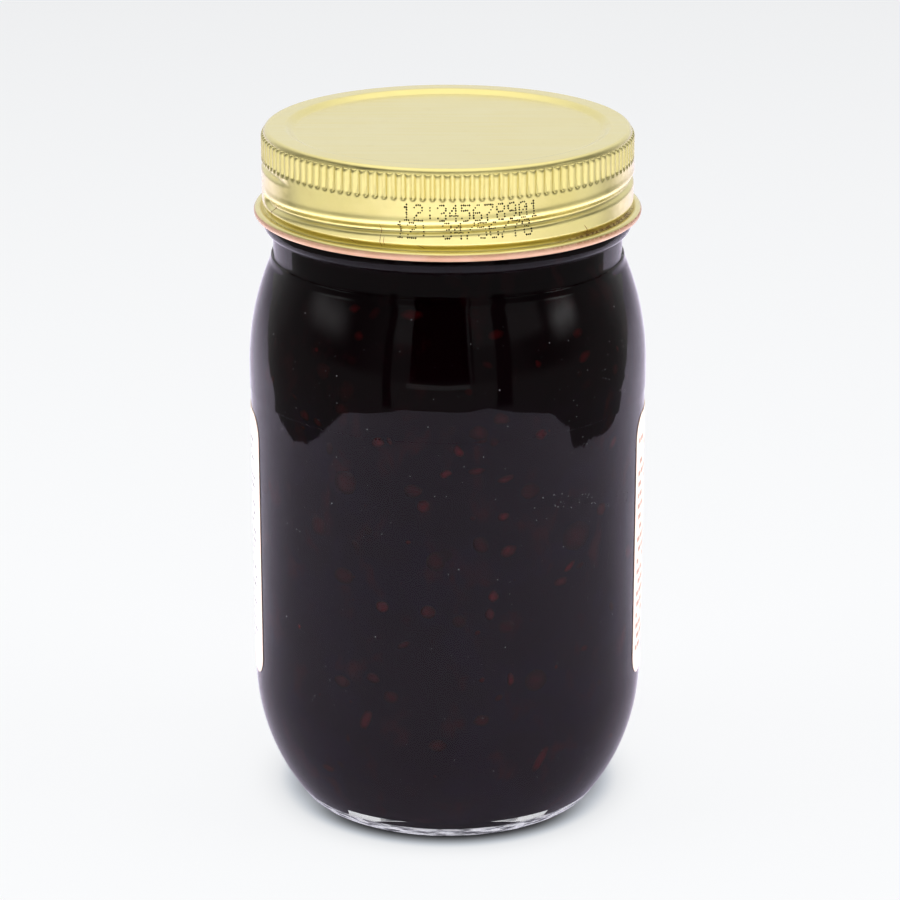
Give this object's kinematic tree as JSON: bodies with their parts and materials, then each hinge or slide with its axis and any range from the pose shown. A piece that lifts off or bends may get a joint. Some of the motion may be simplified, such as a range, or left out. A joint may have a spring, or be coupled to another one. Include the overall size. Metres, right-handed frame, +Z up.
{
  "type": "jam jar",
  "caption": "Round glass jar of dark berry jam with a gold screw lid and a paper label wrapped round its back.",
  "frame": {"origin": "middle of the ring that the jar stands on", "axes": "+Z up along the jar's axis, -Y towards the front, where the label leaves the glass clear"},
  "size_m": [0.0778, 0.0778, 0.1366],
  "materials": {
    "clear_glass": "clear, smooth, a little thick at the base",
    "berry_jam": "near black purple with red flecks",
    "gold_tinplate": "satin gold lacquer, salmon pink on the rolled edge",
    "label_paper": "smooth peach paper"
  },
  "bodies": {
    "root": {"jar": "clear_glass", "jam": "berry_jam", "lid": "gold_tinplate", "label": "label_paper"}
  },
  "joints": []
}
